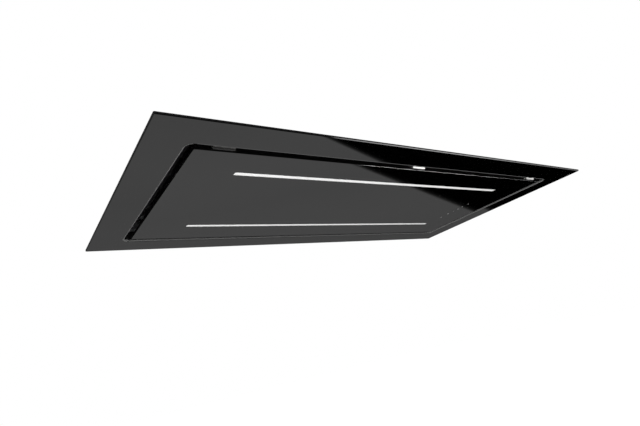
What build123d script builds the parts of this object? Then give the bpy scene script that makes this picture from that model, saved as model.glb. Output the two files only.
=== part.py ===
from build123d import *
import os
from math import cos, hypot, pi, radians, sin

# A ceiling range hood: a sheet-metal casing that goes up into the ceiling, a black glass frame under its
# flange, and a drop-down black glass panel in the frame with a slot all round, through which air is drawn.
# Millimetres. X runs along the hood, Z points up, and z = 0 is the ceiling's underside. The hinges are on
# the -Y side. Everything below z = 0 shows in the room, and everything above it is in the ceiling.

# ---- Driving dimensions ------------------------------------------------------------------------------

# Glass frame and drop-down panel
glass_length = 1200.0
glass_width = 600.0
glass_thickness = 4.0
glass_corner = 4.0
arris = 0.8
frame_margin = 68.5
opening_corner = 15.0
slot = 15.0
panel_corner = 4.0

# Sheet metal of the casing and the steel frame behind the glass
sheet = 1.2
trim_inset = 4.0
lip_setback = 2.0
lip_height = 16.0
lip_gap = 0.3
casing_height = 250.0
fold_corner = 4.0
flange_width = 30.0
flange_upright = 16.0
flange_hole_r = 2.5
flange_hole_end_inset = 55.0
flange_hole_side_inset = 235.0

# Screws through the lip and the casing wall
lip_screw_z = 8.0
lip_screw_r = 1.9
lip_screw_head_r = 3.4
lip_screw_head = 1.8
lip_screw_tail = 3.0
side_screw_inset = 115.0

# Steel tray behind the panel glass
tray_sheet = 1.0
tray_inset = 6.0
tray_depth = 12.0
tray_hem = 8.0
tray_corner = 3.0

# Light strips
led_left_inset = 101.5
led_right_inset = 112.5
led_near_inset = 75.0
led_far_inset = 84.5
led_width = 12.0
led_end_corner = 2.0
led_recess = 0.5
led_gap = 0.15
led_flange = 3.2
led_flange_thickness = 1.2
led_board_thickness = 1.6
profile_wall = 1.2
profile_height = 11.0
profile_overrun = 8.0

# Touch control behind the panel glass
touch_inset = 104.5
touch_y = 14.5
touch_length = 150.0
touch_width = 20.0
touch_corner = 1.0
touch_play = 1.0
touch_board_thickness = 1.6
touch_cover_rim = 6.0
touch_cover_wall = 1.5
touch_cover_height = 10.0

# Hinges of the panel
hinge_inset = 50.5
hinge_width = 38.0
hinge_knuckle = 10.0
hinge_knuckle_r = 2.6
hinge_pin_r = 1.5
hinge_play = 0.3
hinge_running_fit = 0.05
hinge_out = 4.5
hinge_up = 4.5
hinge_leaf = 1.5
hinge_shelf_gap = 1.4
hinge_screw_tail = 2.5
hinge_leaf_corner = 3.0
hinge_fixed_top = 15.0
hinge_screw_r = 1.5
hinge_screw_head_r = 2.8
hinge_screw_head = 1.2
hinge_screw_z = 4.6

# Spring clips that hold the glass at the short ends of the tray
clip_inset = 94.5
clip_width = 5.0
clip_sheet = 0.7
clip_hook = 2.2

# Magnetic catches on the far side
catch_inset = 216.5
catch_width = 30.0
catch_depth = 14.0
catch_height = 10.0
catch_sheet = 1.5
catch_air_gap = 0.4
striker_thickness = 1.4
striker_overlap = 3.0
catch_corner = 2.0
catch_leg_bottom = 5.0

# Grease filters and the plate they seal against
filter_count = 3
filter_gap = 20.0
filter_end_gap = 35.0
filter_side_gap = 40.0
filter_height = 9.0
filter_bottom = 35.0
filter_lip = 12.0
filter_wall = 1.0
filter_corner = 2.0
filter_pleats = 16
filter_mesh_thickness = 0.8
filter_seal = 10.0
filter_plate_sheet = 1.0
filter_plate_flange = 12.0
filter_plate_corner = 8.0
rail_sheet = 1.0
rail_gap = 5.0
rail_lip = 3.6
rail_lip_height = 3.6
rail_foot = 11.0
rail_overrun = 5.0
tab_thickness = 1.0
tab_width = 30.0
tab_spread = 180.0
tab_play = 0.4

# Sliding latch of a filter
latch_travel = 5.0
latch_bolt_width = 30.0
latch_bolt_tail = 11.0
latch_stem_width = 12.0
latch_stem_depth = 4.5
latch_stem_back = 4.8
latch_play = 0.3
latch_lift = 0.1
latch_grip_length = 60.0
latch_grip_depth = 24.0
latch_grip_thickness = 2.8
latch_grip_out = 1.0
latch_grip_corner = 1.5
latch_hook = 6.0
latch_hook_thickness = 4.0
latch_clear = 2.0

# Blower scroll, a four-centre volute
volute_radius = 122.0
volute_step = 26.0
tongue_angle = 35.0
tongue_nose = 4.0
scroll_wall = 2.5
scroll_height = 117.0
scroll_rim = 8.0
scroll_rim_thickness = 2.5
scroll_outlet_gap = 85.0
duct_overrun = 20.0
blower_reach = 185.0
inlet_r = 80.0
bell_r = 12.0
bell_flats = 3
bell_sheet = 1.5
bell_flange = 10.0
bell_play = 0.5
scroll_screw_r = 1.9
scroll_screw_head_r = 3.6
scroll_screw_head = 2.4
scroll_screw_tail = 4.0
scroll_screw_angles = (75, 165, 255, 340)

# Impeller, motor and shaft
wheel_r = 107.0
blade_count = 36
blade_inner_r = 86.0
blade_r = 22.0
blade_turn = 60.0
blade_thickness = 1.2
wheel_ring_inner_r = 84.5
wheel_ring = 3.0
wheel_overlap = 4.0
wheel_plate = 2.0
wheel_top_gap = 6.0
dish_foot_r = 60.0
dish_rim_r = 84.0
hub_r = 16.0
hub_height = 15.0
shaft_r = 4.0
shaft_below_nut = 5.0
shaft_above = 3.0
nut_r = 7.5
nut_height = 7.0
nut_flange = 1.5
motor_r = 52.0
motor_height = 54.5
motor_gap = 3.0
motor_edge = 4.0
motor_ribs = 12
motor_rib_out = 2.5
motor_rib_width = 2.4
motor_boss_r = 30.0
motor_boss_height = 11.0
motor_plate_r = 88.0
motor_plate_thickness = 2.0
motor_opening_r = 72.0
bearing_r = 11.0
bearing_height = 7.0
bearing_inset = 4.0
shaft_running_fit = 0.03
shaft_clear = 2.0
post_r = 9.0
post_length = 26.3
post_circle_r = 105.0

# Outlet
collar_r = 74.0
collar_wall = 2.0
collar_length = 60.0
collar_flange_r = 92.0
collar_flange = 2.5
collar_screw_circle_r = 83.0
adapter_wall = 2.0
adapter_flange = 10.0
adapter_flange_thickness = 2.0
seat_width = 5.0
seat_thickness = 2.0
seat_depth = 15.6
flap_thickness = 1.4
flap_gap = 1.5
flap_seat_gap = 0.2
flap_split = 0.4
flap_rib = 2.2
flap_rib_root = 4.0
flap_rib_length = 52.0
flap_rib_sink = 0.4
flap_rib_thickness = 1.6
flap_rib_z = 28.0
spindle_r = 2.0
spindle_fit = 0.05
spindle_end = 0.6
flap_knuckle_r = 3.2
flap_knuckle = 18.0
flap_knuckle_gap = 4.0

# Electrical box, driver and mains inlet
box_sheet = 1.0
box_corner = 2.0
control_end_gap = 120.0
control_side_gap = 150.0
control_length = 170.0
control_width = 140.0
control_height = 80.0
cover_rim = 8.0
terminal_length = 60.0
terminal_width = 22.0
terminal_height = 18.0
terminal_ways = 6
terminal_slit = 1.2
terminal_back = 4.0
driver_side_gap = 145.0
driver_length = 150.0
driver_width = 50.0
driver_height = 28.0
driver_edge = 2.0
gland_bore_r = 5.0
gland_r = 8.0
gland_flange_r = 12.0
gland_above = 14.0
gland_below = 8.0
gland_flange = 4.0

# Hanging brackets on top
bracket_sheet = 2.0
bracket_width = 40.0
bracket_foot = 28.0
bracket_rise = 18.0
bracket_tab = 36.0
bracket_end_gap = 70.0
bracket_side_gap = 45.0
bracket_bend_r = 3.0
rod_hole_r = 4.5

# ---- Worked-out places -------------------------------------------------------------------------------

ceiling = 0.0
flange_bottom = ceiling - sheet
plate_bottom = flange_bottom - sheet
glass_face = plate_bottom - glass_thickness

opening_x = glass_length - 2 * frame_margin
opening_y = glass_width - 2 * frame_margin
panel_x = opening_x - 2 * slot
panel_y = opening_y - 2 * slot
trim_x = glass_length - 2 * trim_inset
trim_y = glass_width - 2 * trim_inset
lip_x = opening_x + 2 * lip_setback
lip_y = opening_y + 2 * lip_setback
lip_corner = opening_corner + lip_setback
lip_screw_length = 3 * sheet + lip_gap + lip_screw_tail

casing_x = lip_x + 2 * (sheet + lip_gap)
casing_y = lip_y + 2 * (sheet + lip_gap)
casing_out_x = casing_x + 2 * sheet
casing_out_y = casing_y + 2 * sheet
casing_ceiling = casing_height - sheet
flange_x = casing_out_x + 2 * flange_width
flange_y = casing_out_y + 2 * flange_width
flange_row_x = (casing_out_x + flange_width) / 2
flange_row_y = (casing_out_y + flange_width) / 2
flange_hole_y = casing_y / 2 - flange_hole_end_inset
flange_hole_x = casing_x / 2 - flange_hole_side_inset
side_screw_x = casing_x / 2 - side_screw_inset

tray_x = panel_x - 2 * tray_inset
tray_y = panel_y - 2 * tray_inset
tray_floor = plate_bottom + tray_sheet
tray_top = plate_bottom + tray_depth

hinge_x = (hinge_inset - panel_x / 2, 0.0, panel_x / 2 - hinge_inset)
clip_y = panel_y / 2 - clip_inset
catch_x = panel_x / 2 - catch_inset
touch_x = panel_x / 2 - touch_inset

pin_y = -(panel_y / 2 + hinge_out)
pin_z = glass_face + hinge_up
tongue_top = pin_z + hinge_knuckle_r
tongue_bottom = tongue_top - hinge_leaf

led_length = panel_x - led_left_inset - led_right_inset
led_centre_x = (led_left_inset - led_right_inset) / 2
led_rows = (led_near_inset - panel_y / 2, panel_y / 2 - led_far_inset)
profile_inner = led_width + led_flange + 2 * led_gap
profile_roof = tray_floor + profile_height - profile_wall

filter_pitch = (casing_x - 2 * filter_end_gap + filter_gap) / filter_count
filter_length = filter_pitch - filter_gap
filter_width = casing_y - 2 * filter_side_gap
filter_top = filter_bottom + filter_height
filter_x = [(i - (filter_count - 1) / 2) * filter_pitch for i in range(filter_count)]
filter_names = ["left", "middle", "right"] + [f"extra_{i}" for i in range(3, filter_count)]
filter_plate_bottom = filter_top
rail_y = filter_width / 2 + rail_gap
rail_length = filter_pitch * (filter_count - 1) + filter_length + 2 * rail_overrun
rail_lip_top = filter_bottom + rail_lip_height
tab_bottom = rail_lip_top
tab_top = tab_bottom + tab_thickness
tab_reach = rail_y - tab_play
filter_near = -filter_width / 2

scroll_top = casing_ceiling - post_length
scroll_outlet_y = casing_y / 2 - scroll_outlet_gap
blower_y = scroll_outlet_y - blower_reach
scroll_bottom = scroll_top - scroll_height
blower_z = (scroll_top + scroll_bottom) / 2
volute_r = [volute_radius + i * volute_step for i in range(4)]
volute_centres = [
    (-volute_step / 2, volute_step / 2),
    (-volute_step / 2, -volute_step / 2),
    (volute_step / 2, -volute_step / 2),
    (volute_step / 2, volute_step / 2),
]
duct_right = volute_centres[3][0] + volute_r[3]
duct_left = volute_centres[0][0] + volute_r[0] * cos(radians(tongue_angle))
duct_width = duct_right - duct_left
duct_height = scroll_height - 2 * scroll_wall
blower_x = -(duct_right + duct_left) / 2
bell_rim_r = inlet_r + bell_r
bell_top = scroll_bottom - bell_sheet + bell_r

wheel_bottom = bell_top - wheel_overlap
blade_bottom = wheel_bottom + wheel_ring
wheel_plate_top = scroll_top - scroll_wall - wheel_top_gap
blade_top = wheel_plate_top - wheel_plate
motor_bottom = scroll_top - motor_height
hub_top = motor_bottom - motor_gap
hub_bottom = hub_top - hub_height
nut_bottom = hub_bottom - nut_height
shaft_bottom = nut_bottom - shaft_below_nut
motor_plate_top = scroll_top + motor_plate_thickness
shaft_top = motor_plate_top + shaft_above
lower_bearing_z = motor_bottom + bearing_inset
upper_bearing_z = scroll_top - bearing_inset - bearing_height

collar_y = casing_out_y / 2
collar_bore_r = collar_r - collar_wall
seat_y = collar_y + seat_depth
flap_y = seat_y + seat_thickness + flap_seat_gap
flap_r = collar_bore_r - flap_gap
spindle_y = flap_y + flap_knuckle_r

control_x = casing_x / 2 - control_end_gap
control_y = control_side_gap - casing_y / 2
driver_y = casing_y / 2 - driver_side_gap

bracket_x = casing_x / 2 - bracket_end_gap
bracket_y = casing_y / 2 - bracket_side_gap
bracket_tab_z = casing_height + bracket_rise
rod_x = bracket_x + bracket_tab / 2


# ---- Shapes used by several pieces -------------------------------------------------------------------


def slab(length, width, corner, low, high):
    """A flat block round the Z axis with rounded corners."""
    outline = RectangleRounded(length, width, corner) if corner > 0 else Rectangle(length, width)
    return extrude(Pos(0, 0, low) * outline, high - low)


def block(x0, x1, y0, y1, z0, z1):
    """A plain block between two corners, given in any order."""
    middle = Pos((x0 + x1) / 2, (y0 + y1) / 2, (z0 + z1) / 2)
    return middle * Box(abs(x1 - x0), abs(y1 - y0), abs(z1 - z0))


def rod(radius, start, direction, length):
    """A cylinder that starts at a point and runs along a direction."""
    return extrude(Plane(origin=start, z_dir=direction) * Circle(radius), length)


def hex_screw(start, direction, radius, length, head_r, head):
    """A hexagon-head screw: the head sits on the start point, outside, and the shank goes in."""
    seat = Plane(origin=start, z_dir=direction)
    return extrude(seat * Circle(radius), length) + extrude(seat * RegularPolygon(head_r, 6), -head)


def cheese_screw(start, direction, radius, length, head_r, head):
    """A low round-head screw, placed as the hexagon one."""
    seat = Plane(origin=start, z_dir=direction)
    return extrude(seat * Circle(radius), length) + extrude(seat * Circle(head_r), -head)


def lathe(points, centre=(0.0, 0.0)):
    """Turns an outline of (radius, height) points round a vertical axis."""
    outline = make_face(Polyline([(r, 0, z) for r, z in points], close=True))
    return Pos(centre[0], centre[1], 0) * revolve(outline, Axis.Z)


def write(node, *solids):
    """Writes one node: one solid, or a group of like solids."""
    shape = solids[0] if len(solids) == 1 else Compound([s for group in solids for s in group.solids()])
    export_step(shape, os.path.join("parts", node + ".step"))


# ---- Casing and frame --------------------------------------------------------------------------------


def flange_holes():
    """The places of the holes in the flange, in two rectangles."""
    ends = [(sx * flange_row_x, sy * flange_hole_y) for sx in (-1, 1) for sy in (-1, 1)]
    return ends + [(sx * flange_hole_x, sy * flange_row_y) for sx in (-1, 1) for sy in (-1, 1)]


def lip_screws():
    """(point on the lip's inner face, direction) of each screw: two on a long side, one at each end."""
    sides = [
        ((sx * side_screw_x, sy * lip_y / 2, lip_screw_z), (0, sy, 0)) for sx in (-1, 1) for sy in (-1, 1)
    ]
    return sides + [((sx * lip_x / 2, 0, lip_screw_z), (sx, 0, 0)) for sx in (-1, 1)]


def wall_holes():
    """Cutters for every screw through the lip and the casing wall."""
    return [rod(lip_screw_r, start, way, lip_screw_length) for start, way in lip_screws()]


def make_casing_top():
    """Top sheet, with the hole of the cable gland."""
    top = slab(casing_out_x, casing_out_y, 0, casing_ceiling, casing_height)
    return top - rod(gland_r, (control_x, control_y, casing_ceiling), (0, 0, 1), sheet)


def make_casing_side(side):
    """Long wall, spot-welded to the top sheet and the ends. The far one has the outlet's hole."""
    near = side * casing_y / 2
    half = casing_out_x / 2
    wall = block(-half, half, near, near + side * sheet, flange_bottom, casing_ceiling)
    if side > 0:
        wall -= rod(collar_bore_r, (0, near, blower_z), (0, 1, 0), sheet)
    return wall - wall_holes()


def make_casing_ends():
    """The two end walls, between the long ones."""
    half = casing_y / 2
    inner = casing_x / 2
    right = block(inner, inner + sheet, -half, half, flange_bottom, casing_ceiling) - wall_holes()
    return [right, mirror(right, Plane.YZ)]


def make_flange_frame():
    """Angle frame round the casing's mouth, whose flat leg lies under the ceiling."""
    flat = slab(flange_x, flange_y, 2 * fold_corner, flange_bottom, ceiling)
    upright = slab(casing_out_x + 2 * sheet, casing_out_y + 2 * sheet, sheet, flange_bottom, flange_upright)
    mouth = slab(casing_out_x, casing_out_y, 0, flange_bottom, flange_upright)
    holes = [rod(flange_hole_r, (x, y, flange_bottom), (0, 0, 1), sheet) for x, y in flange_holes()]
    return flat + upright - mouth - holes - wall_holes()


def make_trim_frame():
    """Steel frame: a plate behind the glass, a rim up to the ceiling and a lip into the casing."""
    plate = slab(trim_x, trim_y, glass_corner, plate_bottom, ceiling)
    relief = slab(trim_x - 2 * sheet, trim_y - 2 * sheet, glass_corner - sheet, flange_bottom, ceiling)
    lip = slab(lip_x + 2 * sheet, lip_y + 2 * sheet, lip_corner + sheet, plate_bottom, lip_height)
    opening = slab(lip_x, lip_y, lip_corner, plate_bottom, lip_height)
    return plate - relief + lip - opening - wall_holes()


def make_trim_glass():
    """Glass frame, bonded under the steel plate, with ground and polished edges."""
    glass = slab(glass_length, glass_width, glass_corner, glass_face, plate_bottom)
    glass -= slab(opening_x, opening_y, opening_corner, glass_face, plate_bottom)
    layers = glass.edges().group_by(Axis.Z)
    return chamfer(layers[0] + layers[-1], arris)


def make_trim_screws():
    """Screws from inside through the lip, the casing's walls and the angle frame round them."""
    size = (lip_screw_head_r, lip_screw_head)
    return [hex_screw(at, way, lip_screw_r, lip_screw_length, *size) for at, way in lip_screws()]


# ---- Drop-down panel ---------------------------------------------------------------------------------


def in_rows(shape):
    """The same piece at both rows of lights."""
    return [Pos(led_centre_x, y, 0) * shape for y in led_rows]


def light_slots(corner, low, high):
    """Cutters for the slots over both rows of lights."""
    return in_rows(slab(led_length, led_width, corner, low, high))


def make_panel_glass():
    """Panel glass with ground and polished edges and a slot for each light strip."""
    glass = slab(panel_x, panel_y, panel_corner, glass_face, plate_bottom)
    layers = glass.edges().group_by(Axis.Z)
    glass = chamfer(layers[0] + layers[-1], arris)
    return glass - light_slots(led_end_corner, glass_face, plate_bottom)


def make_panel_tray():
    """Folded tray bonded behind the glass, with an inward hem round its top."""
    inner_x = tray_x - 2 * tray_sheet
    inner_y = tray_y - 2 * tray_sheet
    inner_corner = tray_corner - tray_sheet
    tray = slab(tray_x, tray_y, tray_corner, plate_bottom, tray_top)
    tray -= slab(inner_x, inner_y, inner_corner, tray_floor, tray_top - tray_sheet)
    hem_x = tray_x - 2 * tray_hem
    hem_y = tray_y - 2 * tray_hem
    tray -= slab(hem_x, hem_y, inner_corner, tray_top - tray_sheet, tray_top)
    tray -= light_slots(0, plate_bottom, tray_floor)
    window = slab(touch_width, touch_length, touch_corner, plate_bottom, tray_floor)
    tray -= Pos(touch_x, touch_y, 0) * window
    start_y = -tray_y / 2
    return tray - [rod(hinge_screw_r, (x, start_y, hinge_screw_z), (0, 1, 0), tray_sheet) for x in hinge_x]


def make_glass_clips():
    """Four spring-steel clips from the tray's end walls round the ends of the glass."""
    reach = (panel_x - tray_x) / 2
    top = tray_top - tray_sheet
    outline = [
        (0, top),
        (clip_sheet, top),
        (clip_sheet, plate_bottom + clip_sheet),
        (reach + clip_sheet, plate_bottom + clip_sheet),
        (reach + clip_sheet, plate_bottom - clip_hook),
        (reach, plate_bottom - clip_hook),
        (reach, plate_bottom),
        (0, plate_bottom),
    ]
    face = make_face(Polyline([(tray_x / 2 + u, 0, z) for u, z in outline], close=True))
    clip = extrude(face, clip_width / 2, dir=(0, 1, 0), both=True)
    right = [Pos(0, y, 0) * clip for y in (-clip_y, clip_y)]
    return right + [mirror(piece, Plane.YZ) for piece in right]


def make_led_profiles():
    """Aluminium channels on the tray over the rows of lights."""
    length = led_length + 2 * profile_overrun
    outer = slab(length, profile_inner + 2 * profile_wall, 0, tray_floor, tray_floor + profile_height)
    return in_rows(outer - slab(length, profile_inner, 0, tray_floor, profile_roof))


def make_led_diffusers():
    """Opal strips: each bar fills a slot in the glass, and its flange rests on the tray."""
    bar_length = led_length - 2 * led_gap
    bar_width = led_width - 2 * led_gap
    bar = slab(bar_length, bar_width, led_end_corner, glass_face + led_recess, tray_floor)
    top = tray_floor + led_flange_thickness
    return in_rows(bar + slab(led_length + led_flange, led_width + led_flange, 0, tray_floor, top))


def make_led_boards():
    """The two light boards, under the roofs of their channels."""
    low = profile_roof - led_board_thickness
    return in_rows(slab(led_length, led_width, 0, low, profile_roof))


def make_touch_board():
    """Sensor board of the touch keys, against the back of the glass in the tray's window."""
    size = (touch_width - touch_play, touch_length - touch_play)
    board = slab(*size, touch_corner, plate_bottom, plate_bottom + touch_board_thickness)
    return Pos(touch_x, touch_y, 0) * board


def make_touch_cover():
    """Plastic cover over the sensor board."""
    outer = (touch_width + 2 * touch_cover_rim, touch_length + 2 * touch_cover_rim)
    inner = (outer[0] - 2 * touch_cover_wall, outer[1] - 2 * touch_cover_wall)
    top = tray_floor + touch_cover_height
    cover = slab(*outer, touch_cover_wall + touch_corner, tray_floor, top)
    cover = chamfer(cover.edges().group_by(Axis.Z)[-1], touch_corner)
    cover -= slab(*inner, touch_corner, tray_floor, top - touch_cover_wall)
    return Pos(touch_x, touch_y, 0) * cover


# ---- Hinges and catches ------------------------------------------------------------------------------


def knuckle(x0, x1, bore):
    """A hinge knuckle on the pin's line."""
    length = x1 - x0
    solid = rod(hinge_knuckle_r, (x0, pin_y, pin_z), (1, 0, 0), length)
    return solid, rod(bore, (x0, pin_y, pin_z), (1, 0, 0), length)


def leaf_plate(x, y0, y1, top):
    """An upright leaf with its two upper corners rounded."""
    half = hinge_width / 2
    plate = block(x - half, x + half, y0, y1, tongue_bottom, top)
    corners = plate.edges().filter_by(Axis.Y).group_by(Axis.Z)[-1]
    return fillet(corners, hinge_leaf_corner)


def make_hinge_fixed(x):
    """Fixed leaf, spot-welded on the lip, with a knuckle at each end."""
    half = hinge_width / 2
    wall = -lip_y / 2
    leaf = leaf_plate(x, wall, wall + hinge_leaf, hinge_fixed_top)
    bores = []
    for x0, x1 in ((x - half, x - half + hinge_knuckle), (x + half - hinge_knuckle, x + half)):
        barrel, bore = knuckle(x0, x1, hinge_pin_r)
        leaf += block(x0, x1, wall, pin_y, tongue_bottom, tongue_top) + barrel
        bores.append(bore)
    return leaf - bores


def make_hinge_moving(x):
    """Moving leaf on the tray's wall, with the middle knuckle."""
    half = hinge_width / 2
    wall = -tray_y / 2
    inner = half - hinge_knuckle - hinge_play
    leaf = leaf_plate(x, wall - hinge_leaf, wall, tray_top - tray_sheet)
    barrel, bore = knuckle(x - inner, x + inner, hinge_pin_r + hinge_running_fit)
    shelf_y = pin_y + hinge_knuckle_r + hinge_shelf_gap
    leaf += block(x - half, x + half, shelf_y, wall, tongue_bottom, tongue_top)
    leaf += block(x - inner, x + inner, pin_y, wall, tongue_bottom, tongue_top) + barrel
    return leaf - bore - rod(hinge_screw_r, (x, wall - hinge_leaf, hinge_screw_z), (0, 1, 0), hinge_leaf)


def make_hinge_pins():
    """A plain pin in each hinge, held in the outer knuckles."""
    return [rod(hinge_pin_r, (x - hinge_width / 2, pin_y, pin_z), (1, 0, 0), hinge_width) for x in hinge_x]


def make_hinge_moving_screws():
    """One screw through each moving leaf into the tray's wall."""
    length = hinge_leaf + tray_sheet + hinge_screw_tail
    y = -tray_y / 2 - hinge_leaf
    size = (hinge_screw_head_r, hinge_screw_head)
    return [cheese_screw((x, y, hinge_screw_z), (0, 1, 0), hinge_screw_r, length, *size) for x in hinge_x]


striker_top = tray_top + striker_thickness
magnet_bottom = striker_top + catch_air_gap
magnet_top = magnet_bottom + catch_height
catch_y = tray_y / 2 - tray_hem / 2


def catch_pair(shape):
    """The same piece at both catches."""
    return [Pos(s * catch_x, 0, 0) * shape for s in (-1, 1)]


def make_catch_brackets():
    """Bent brackets on the far lip that hold the magnets over the tray's hem."""
    half = catch_width / 2 - striker_overlap
    wall = lip_y / 2
    top = magnet_top + catch_sheet
    leg = block(-half, half, wall - catch_sheet, wall, catch_leg_bottom, top)
    arm = block(-half, half, catch_y - catch_depth / 2, wall, magnet_top, top)
    return catch_pair(leg + arm)


def make_catch_magnets():
    """Magnets in their plastic blocks."""
    low = catch_y - catch_depth / 2
    magnet = block(-catch_width / 2, catch_width / 2, low, low + catch_depth, magnet_bottom, magnet_top)
    return catch_pair(chamfer(magnet.edges().filter_by(Axis.Z), catch_corner))


def make_catch_strikers():
    """Steel strikers on the tray's hem, under the magnets."""
    half = catch_width / 2 + striker_overlap
    low = tray_y / 2 - tray_hem
    striker = block(-half, half, low, tray_y / 2, tray_top, striker_top)
    return catch_pair(chamfer(striker.edges().filter_by(Axis.Z), catch_corner))


# ---- Grease filters ----------------------------------------------------------------------------------


def make_filter_plate():
    """Plate across the casing with an opening over each filter and a flange up the walls."""
    top = filter_plate_bottom + filter_plate_flange
    plate = slab(casing_x, casing_y, fold_corner, filter_plate_bottom, top)
    inside = (casing_x - 2 * filter_plate_sheet, casing_y - 2 * filter_plate_sheet)
    floor = filter_plate_bottom + filter_plate_sheet
    plate -= slab(*inside, fold_corner - filter_plate_sheet, floor, top)
    opening = (filter_length - 2 * filter_seal, filter_width - 2 * filter_seal)
    for x in filter_x:
        plate -= Pos(x, 0, 0) * slab(*opening, filter_plate_corner, filter_plate_bottom, top)
    return plate


def make_filter_rails():
    """Two folded rails under the plate, whose lips carry the tabs and the bolts."""
    outline = [
        (rail_y - rail_lip, rail_lip_top - rail_sheet),
        (rail_y + rail_sheet, rail_lip_top - rail_sheet),
        (rail_y + rail_sheet, filter_top - rail_sheet),
        (rail_y + rail_foot, filter_top - rail_sheet),
        (rail_y + rail_foot, filter_top),
        (rail_y, filter_top),
        (rail_y, rail_lip_top),
        (rail_y - rail_lip, rail_lip_top),
    ]
    face = make_face(Polyline([(0, y, z) for y, z in outline], close=True))
    far = extrude(face, rail_length / 2, dir=(1, 0, 0), both=True)
    return [far, mirror(far, Plane.XZ)]


def make_filter_frame(x):
    """Aluminium channel frame with two tabs, a bolt slot and a notch for the latch's stem."""
    lip_in = (filter_length - 2 * filter_lip, filter_width - 2 * filter_lip)
    channel = (filter_length - 2 * filter_wall, filter_width - 2 * filter_wall)
    frame = slab(filter_length, filter_width, filter_corner, filter_bottom, filter_top)
    frame -= slab(*lip_in, 0, filter_bottom, filter_top)
    frame -= slab(*channel, 0, filter_bottom + filter_wall, filter_top - filter_wall)
    half = tab_width / 2
    for s in (-1, 1):
        middle = s * tab_spread / 2
        frame += block(middle - half, middle + half, filter_width / 2, tab_reach, tab_bottom, tab_top)
    bolt = latch_bolt_width / 2 + latch_play
    near = filter_near + filter_wall
    frame -= block(-bolt, bolt, filter_near, near, tab_bottom - latch_play, tab_top + latch_play)
    stem = latch_stem_width / 2 + latch_play
    near = filter_near + latch_stem_back - latch_play
    far = filter_near + filter_lip
    frame -= block(-stem, stem, near, far, filter_bottom, filter_bottom + filter_wall)
    return Pos(x, 0, 0) * frame


def make_filter_mesh(x):
    """Pleated mesh pack in the frame's channel, cut away round the latch."""
    low = filter_bottom + filter_wall
    high = filter_top - filter_wall - filter_mesh_thickness
    half = filter_length / 2 - filter_wall
    step = half / filter_pleats
    under = [(-half + i * step, 0, high if i % 2 else low) for i in range(2 * filter_pleats + 1)]
    over = [(px, 0, pz + filter_mesh_thickness) for px, _, pz in reversed(under)]
    face = make_face(Polyline(under + over, close=True))
    pleats = extrude(face, filter_width / 2 - filter_wall, dir=(0, 1, 0), both=True)
    side = latch_bolt_width / 2 + latch_clear
    back = filter_near + latch_bolt_tail + latch_travel + latch_clear
    return Pos(x, 0, 0) * (pleats - block(-side, side, filter_near, back, filter_bottom, filter_top))


def make_filter_latch(x):
    """Sliding latch: a bolt over the near rail's lip, a stem, and a grip under the frame."""
    half = latch_bolt_width / 2
    low = tab_bottom + latch_lift
    bolt = block(-half, half, -tab_reach, filter_near + latch_bolt_tail, low, low + tab_thickness)
    stem_y = filter_near + latch_stem_back
    grip_top = filter_bottom - latch_play
    half = latch_stem_width / 2
    stem = block(-half, half, stem_y, stem_y + latch_stem_depth, grip_top - filter_wall, low)
    half = latch_grip_length / 2
    grip_y = filter_near - latch_grip_out
    grip_bottom = grip_top - latch_grip_thickness
    grip = block(-half, half, grip_y, grip_y + latch_grip_depth, grip_bottom, grip_top)
    hook_y = grip_y + latch_grip_depth
    hook = block(-half, half, hook_y - latch_hook_thickness, hook_y, grip_bottom - latch_hook, grip_bottom)
    handle = grip + hook
    handle = chamfer(handle.edges().filter_by(Axis.Z), latch_grip_corner)
    return Pos(x, 0, 0) * (bolt + stem + handle)


# ---- Blower scroll -----------------------------------------------------------------------------------


def volute(grow):
    """The volute's outline in plan, made of four quarter arcs and a straight duct, grown outwards."""
    start = (
        volute_centres[0][0] + volute_r[0] * cos(radians(tongue_angle)),
        volute_centres[0][1] + volute_r[0] * sin(radians(tongue_angle)),
    )
    duct_end = scroll_outlet_y - blower_y + duct_overrun
    right_foot = (duct_right, volute_centres[3][1])
    edges = [CenterArc(volute_centres[0], volute_r[0], tongue_angle, 90 - tongue_angle)]
    edges += [CenterArc(volute_centres[i], volute_r[i], 90 * i, 90) for i in (1, 2, 3)]
    edges.append(Line(right_foot, (duct_right, duct_end)))
    edges.append(Line((duct_right, duct_end), (duct_left, duct_end)))
    edges.append(Line((duct_left, duct_end), start))
    face = make_face(edges)
    tip = [v for v in face.vertices() if hypot(v.X - start[0], v.Y - start[1]) < 0.01]
    face = fillet(tip, tongue_nose)
    return offset(face, grow) if grow else face


def volute_slab(grow, low, high):
    """The volute's outline as a block, cut off at the outlet."""
    solid = Pos(blower_x, blower_y, 0) * extrude(Pos(0, 0, low) * volute(grow), high - low)
    return solid - block(-duct_width, duct_width, scroll_outlet_y, casing_y, low, high)


def outlet_flange(low, high):
    """The flange round the duct's end, for one half of the scroll."""
    half = duct_width / 2 + scroll_wall + scroll_rim
    return block(-half, half, scroll_outlet_y - scroll_rim_thickness, scroll_outlet_y, low, high)


def blower_rod(radius, low, high):
    """A cylinder on the blower's axis."""
    return rod(radius, (blower_x, blower_y, low), (0, 0, 1), high - low)


def scroll_screw_places():
    """Screws round the joint of the two halves, in the middle of the rim."""
    places = []
    for i, angle in enumerate(scroll_screw_angles):
        reach = volute_r[i] + scroll_wall + scroll_rim / 2
        x = blower_x + volute_centres[i][0] + reach * cos(radians(angle))
        y = blower_y + volute_centres[i][1] + reach * sin(radians(angle))
        places.append((x, y))
    return places


def screw_holes(low, high):
    """Holes for the joint screws."""
    return [rod(scroll_screw_r, (x, y, low), (0, 0, 1), high - low) for x, y in scroll_screw_places()]


def bell_arc(radius):
    """Points of the bell-mouth's quarter round, from its throat down to its flange."""
    angles = [radians(180 + 90 * i / bell_flats) for i in range(bell_flats + 1)]
    return [(bell_rim_r + radius * cos(a), bell_top + radius * sin(a)) for a in angles]


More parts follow.
